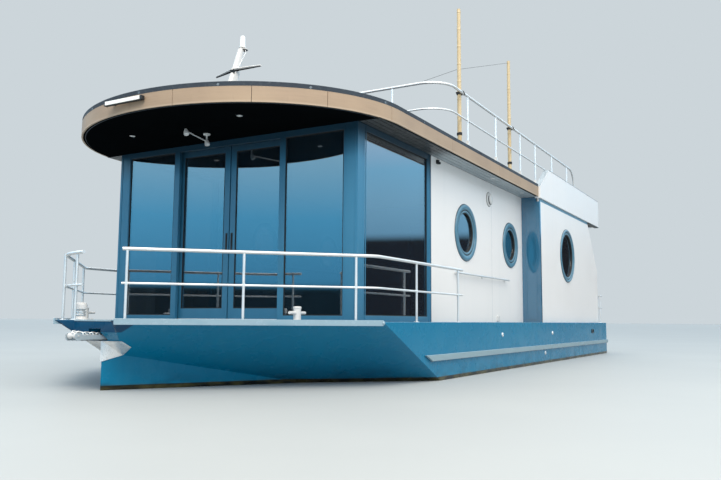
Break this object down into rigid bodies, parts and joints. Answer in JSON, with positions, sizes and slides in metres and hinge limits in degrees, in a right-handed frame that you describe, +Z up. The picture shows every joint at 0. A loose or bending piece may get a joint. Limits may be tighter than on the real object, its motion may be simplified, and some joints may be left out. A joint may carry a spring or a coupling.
{
  "type": "houseboat",
  "caption": "Flat-bottomed steel houseboat with sliding glass doors at the bow, round windows, a railed walk-on roof, a folding mast and a steerable outboard motor.",
  "frame": {"origin": "on the flat bottom of the hull, on the centreline, half way between the nose of the deck and the transom", "axes": "+X to the bow, +Y to port, +Z up"},
  "size_m": [14.415, 5.01, 5.95],
  "materials": {
    "hull_paint": "semi-gloss two-part boat paint, blue",
    "frame_paint": "powder-coated window and door frames, dark blue-grey",
    "wall_paint": "semi-gloss off-white paint",
    "rail_paint": "light grey paint, scuffed",
    "stainless": "satin stainless tube and plate",
    "fascia_paint": "brown roof edge",
    "membrane": "dark roofing membrane",
    "window_glass": "tinted float glass",
    "bamboo": "dry bamboo cane",
    "black_plastic": "moulded black plastic",
    "white_coat": "white powder coat",
    "joinery": "oiled oak joinery",
    "engine_cover": "moulded dark grey cowl"
  },
  "bodies": {
    "boat": {"hull": "hull_paint", "rub_rail_port": "rail_paint", "rub_rail_starboard": "rail_paint", "stem_chafe_plate": "stainless", "bow_roller": "stainless", "windlass": "white_coat", "bow_bollard_port": "stainless", "bow_bollard_starboard": "stainless", "stern_cleat_port": "white_coat", "stern_cleat_starboard": "white_coat", "bow_rail_port": "stainless", "bow_rail_starboard": "stainless", "grab_rail_port": "stainless", "grab_rail_starboard": "stainless", "saloon_front": "frame_paint", "front_pane_port": "window_glass", "front_pane_starboard": "window_glass", "side_window_frame_port": "frame_paint", "side_window_frame_starboard": "frame_paint", "side_window_port": "window_glass", "side_window_starboard": "window_glass", "saloon_side_wall_port": "wall_paint", "saloon_side_wall_starboard": "wall_paint", "step_bulkhead": "frame_paint", "cabin_side_wall_port": "wall_paint", "cabin_side_wall_starboard": "wall_paint", "porthole_saloon_fore_port": "frame_paint", "porthole_saloon_fore_starboard": "frame_paint", "porthole_saloon_aft_port": "frame_paint", "porthole_saloon_aft_starboard": "frame_paint", "porthole_cabin_port": "frame_paint", "porthole_cabin_starboard": "frame_paint", "aft_wall": "wall_paint", "roof": "membrane", "roof_fascia": "fascia_paint", "roof_parapet": "wall_paint", "roof_rail_port": "stainless", "roof_rail_starboard": "stainless", "roof_rail_cross": "stainless", "bamboo_pole_fore": "bamboo", "bamboo_pole_aft": "bamboo", "mast_foot": "white_coat", "flood_light": "white_coat", "soffit_spots": "stainless", "stern_rail_port": "stainless", "stern_rail_starboard": "stainless", "roof_ladder": "stainless", "outboard_clamp": "engine_cover", "helm_console": "joinery", "galley_counter": "joinery"},
    "door_leaf_port": {"sliding_door_port": "frame_paint", "sliding_door_glass_port": "window_glass"},
    "door_leaf_starboard": {"sliding_door_starboard": "frame_paint", "sliding_door_glass_starboard": "window_glass"},
    "stern_door_leaf": {"stern_door": "frame_paint"},
    "mast": {"nav_mast": "white_coat"},
    "motor_swivel": {"outboard_swivel": "engine_cover"},
    "motor": {"outboard_engine": "engine_cover"},
    "propeller": {"outboard_propeller": "stainless"},
    "steering_wheel": {"helm_wheel": "black_plastic"}
  },
  "joints": [
    {"name": "door_slide_port", "type": "slide", "parent": "boat", "child": "door_leaf_port", "axis": [0, 1, 0], "range_m": [0, 0.85]},
    {"name": "door_slide_starboard", "type": "slide", "parent": "boat", "child": "door_leaf_starboard", "axis": [0, -1, 0], "range_m": [0, 0.85]},
    {"name": "stern_door_hinge", "type": "hinge", "parent": "boat", "child": "stern_door_leaf", "pos_m": [-5.668, 1.06, 2.2], "axis": [0, 0, -1], "range_deg": [0, 100]},
    {"name": "mast_fold", "type": "hinge", "parent": "boat", "child": "mast", "pos_m": [4.74, 0, 3.985], "axis": [0, -1, 0], "range_deg": [0, 65]},
    {"name": "motor_tilt", "type": "hinge", "parent": "boat", "child": "motor_swivel", "pos_m": [-6.96, 0, 0.9], "axis": [0, 1, 0], "range_deg": [0, 60]},
    {"name": "motor_steer", "type": "hinge", "parent": "motor_swivel", "child": "motor", "pos_m": [-7.015, 0, 0.78], "axis": [0, 0, 1], "range_deg": [-35, 35]},
    {"name": "propeller_spin", "type": "hinge", "parent": "motor", "child": "propeller", "pos_m": [-7.296, 0, 0.215], "axis": [1, 0, 0], "continuous": true},
    {"name": "wheel_turn", "type": "hinge", "parent": "boat", "child": "steering_wheel", "pos_m": [3.82, -1.325, 2.02], "axis": [1, 0, 0], "continuous": true}
  ]
}
